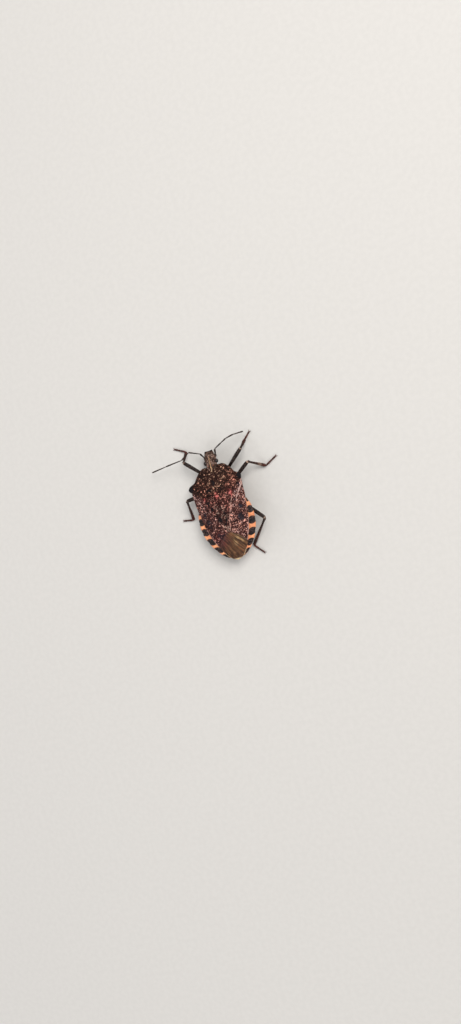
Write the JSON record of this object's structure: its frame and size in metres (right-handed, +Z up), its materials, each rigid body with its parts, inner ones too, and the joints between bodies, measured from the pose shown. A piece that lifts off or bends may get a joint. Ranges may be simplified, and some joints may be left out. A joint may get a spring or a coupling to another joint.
{
  "type": "shield bug",
  "caption": "Life-size still model of a mottled brown shield bug standing on a surface, with banded abdomen rim, folded veined wings, thin antennae and bent legs.",
  "frame": {"origin": "on the floor, on the bug's plane of symmetry, 7 mm behind the tip of its head, which is the middle of the bounding box's base", "axes": "+Z up, the head points to -Y, the bug's own left side is +X"},
  "size_m": [0.0182, 0.0185, 0.0039],
  "materials": {
    "head_shell": "punctured grey-brown cuticle",
    "eye": "glossy dark compound eye",
    "beak": "dark satin cuticle",
    "pronotum_shell": "brown-black cuticle mottled with orange",
    "underside_shell": "brown punctured cuticle",
    "scutellum_shell": "brown-black cuticle mottled with red",
    "wing": "mottled leathery wing with a satin brown membrane",
    "abdomen_shell": "black and orange banded rim, ochre underside",
    "antenna": "dark brown cuticle",
    "femur": "satin black-brown cuticle",
    "shin": "satin dark reddish-brown cuticle",
    "foot": "dark reddish-brown cuticle"
  },
  "bodies": {
    "root": {"head": "head_shell", "eye_left": "eye", "eye_right": "eye", "rostrum": "beak", "prothorax": "pronotum_shell", "thorax": "underside_shell", "scutellum": "scutellum_shell", "forewing_left": "wing", "forewing_right": "wing", "abdomen": "abdomen_shell", "antenna_left_base": "antenna", "antenna_left_tip": "antenna", "antenna_right_base": "antenna", "antenna_right_tip": "antenna", "leg_front_left_femur": "femur", "leg_front_left_tibia": "shin", "leg_front_left_tarsus": "foot", "leg_front_right_femur": "femur", "leg_front_right_tibia": "shin", "leg_front_right_tarsus": "foot", "leg_middle_left_femur": "femur", "leg_middle_left_tibia": "shin", "leg_middle_left_tarsus": "foot", "leg_middle_right_femur": "femur", "leg_middle_right_tibia": "shin", "leg_middle_right_tarsus": "foot", "leg_hind_left_femur": "femur", "leg_hind_left_tibia": "shin", "leg_hind_left_tarsus": "foot", "leg_hind_right_femur": "femur", "leg_hind_right_tibia": "shin", "leg_hind_right_tarsus": "foot"}
  },
  "joints": []
}
